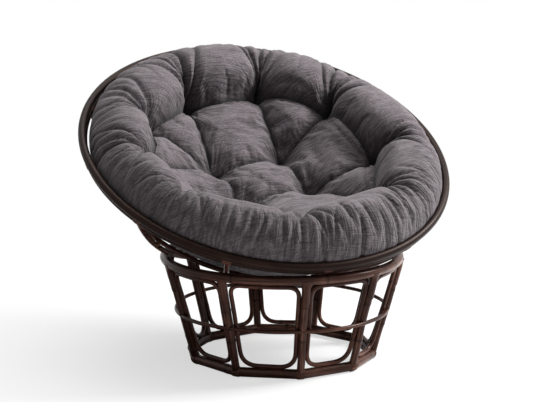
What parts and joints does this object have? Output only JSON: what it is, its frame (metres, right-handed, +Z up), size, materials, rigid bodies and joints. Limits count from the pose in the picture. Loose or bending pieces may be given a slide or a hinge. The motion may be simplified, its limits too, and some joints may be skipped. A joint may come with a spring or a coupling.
{
  "type": "papasan chair",
  "caption": "Round tufted cushion in a tilted bowl of bent cane poles, resting on a drum-shaped base of cane rings, posts and panel loops.",
  "frame": {"origin": "middle of the chair's extent, on the floor under the foot wraps", "axes": "+Z up, the chair faces -Y, +X to the sitter's left"},
  "size_m": [1.1, 0.985, 0.8704],
  "materials": {
    "pole": "satin",
    "cane": "satin",
    "binding": "matte",
    "cloth": "matte"
  },
  "bodies": {
    "base": {"base_top_ring": "pole", "base_bottom_ring": "pole", "base_middle_ring": "cane", "foot_wrap_1": "binding", "foot_wrap_2": "binding", "foot_wrap_3": "binding", "foot_wrap_4": "binding", "foot_wrap_5": "binding", "foot_wrap_6": "binding", "foot_wrap_7": "binding", "foot_wrap_8": "binding", "foot_wrap_9": "binding", "foot_wrap_10": "binding", "post_1": "pole", "post_2": "pole", "post_3": "pole", "post_4": "pole", "post_5": "pole", "post_6": "pole", "post_7": "pole", "post_8": "pole", "post_9": "pole", "post_10": "pole", "panel_loop_1": "cane", "panel_loop_2": "cane", "panel_loop_3": "cane", "panel_loop_4": "cane", "panel_loop_5": "cane", "panel_loop_6": "cane", "panel_loop_7": "cane", "panel_loop_8": "cane", "panel_loop_9": "cane", "panel_loop_10": "cane"},
    "bowl": {"rim_upper_pole": "pole", "rim_lower_pole": "pole", "bowl_hub_hoop": "cane", "bowl_middle_hoop": "cane", "bowl_upper_hoop": "cane", "bowl_rib_1": "pole", "bowl_rib_2": "pole", "bowl_rib_3": "pole", "bowl_rib_4": "pole", "bowl_rib_5": "pole", "bowl_rib_6": "pole", "bowl_rib_7": "pole", "bowl_rib_8": "pole", "bowl_rib_9": "pole", "bowl_rib_10": "pole", "bowl_rib_11": "pole", "bowl_rib_12": "pole"},
    "cushion": {"cushion": "cloth"}
  },
  "joints": [
    {"name": "bowl_tilt", "type": "hinge", "parent": "base", "child": "bowl", "pos_m": [0, -0.12129, 0.82715], "axis": [1, 0, 0], "range_deg": [-28, 3]},
    {"name": "cushion_lift", "type": "slide", "parent": "bowl", "child": "cushion", "axis": [0, -0.4695, 0.8829], "range_m": [0, 0.45]}
  ]
}
